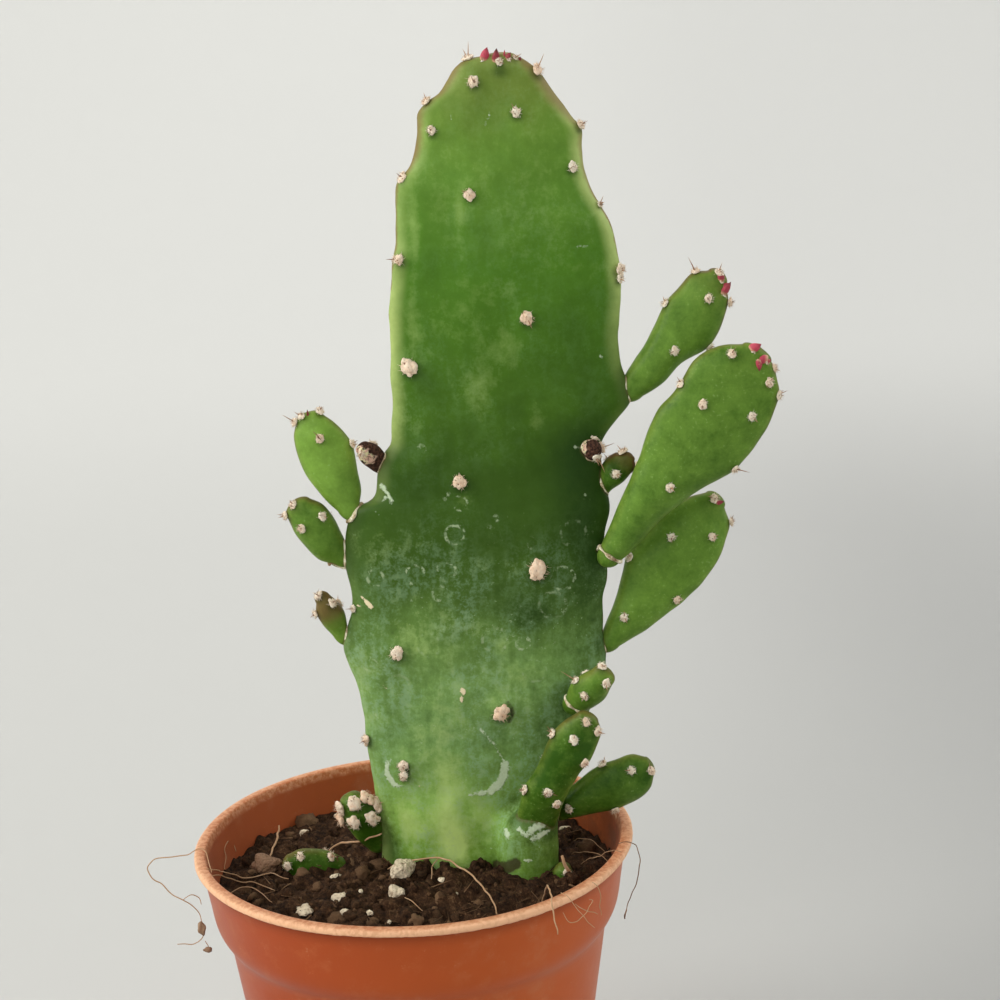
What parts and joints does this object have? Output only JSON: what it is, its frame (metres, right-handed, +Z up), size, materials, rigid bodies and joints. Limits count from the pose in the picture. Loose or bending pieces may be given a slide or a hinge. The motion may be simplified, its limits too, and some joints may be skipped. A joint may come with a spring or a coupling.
{
  "type": "potted prickly pear",
  "caption": "Upright prickly pear cutting with one tall flat pad and small side pads, areoles and spines, in a round plastic nursery pot filled with soil.",
  "frame": {"origin": "centre of the pot's underside", "axes": "+Z up along the pot's axis, +X to the viewer's right and -Y towards a viewer who looks at the broad face of the pads"},
  "size_m": [0.1163, 0.085, 0.2228],
  "materials": {
    "pot_plastic": "satin, terracotta orange-brown, lighter on the lip",
    "potting_mix": "damp and crumbly, with off-white perlite grains",
    "main_skin": "waxy green skin, powdery scars on its lower half",
    "young_skin": "waxy bright green skin, reddish at the edges and tips",
    "dry_skin": "dry, brown and corky"
  },
  "bodies": {
    "root": {"pot": "pot_plastic", "soil": "potting_mix", "pad_main": "main_skin", "pad_right_1": "young_skin", "pad_right_2": "young_skin", "pad_right_3": "young_skin", "pad_right_4": "young_skin", "pad_right_5": "young_skin", "pad_right_6": "young_skin", "pad_left_1": "young_skin", "pad_left_2": "young_skin", "pad_left_3": "young_skin", "pad_in_soil": "young_skin", "bud_right_edge": "young_skin", "bud_right_foot": "young_skin", "bud_left_foot": "young_skin", "dry_bud_left": "dry_skin", "dry_bud_right": "dry_skin"}
  },
  "joints": []
}
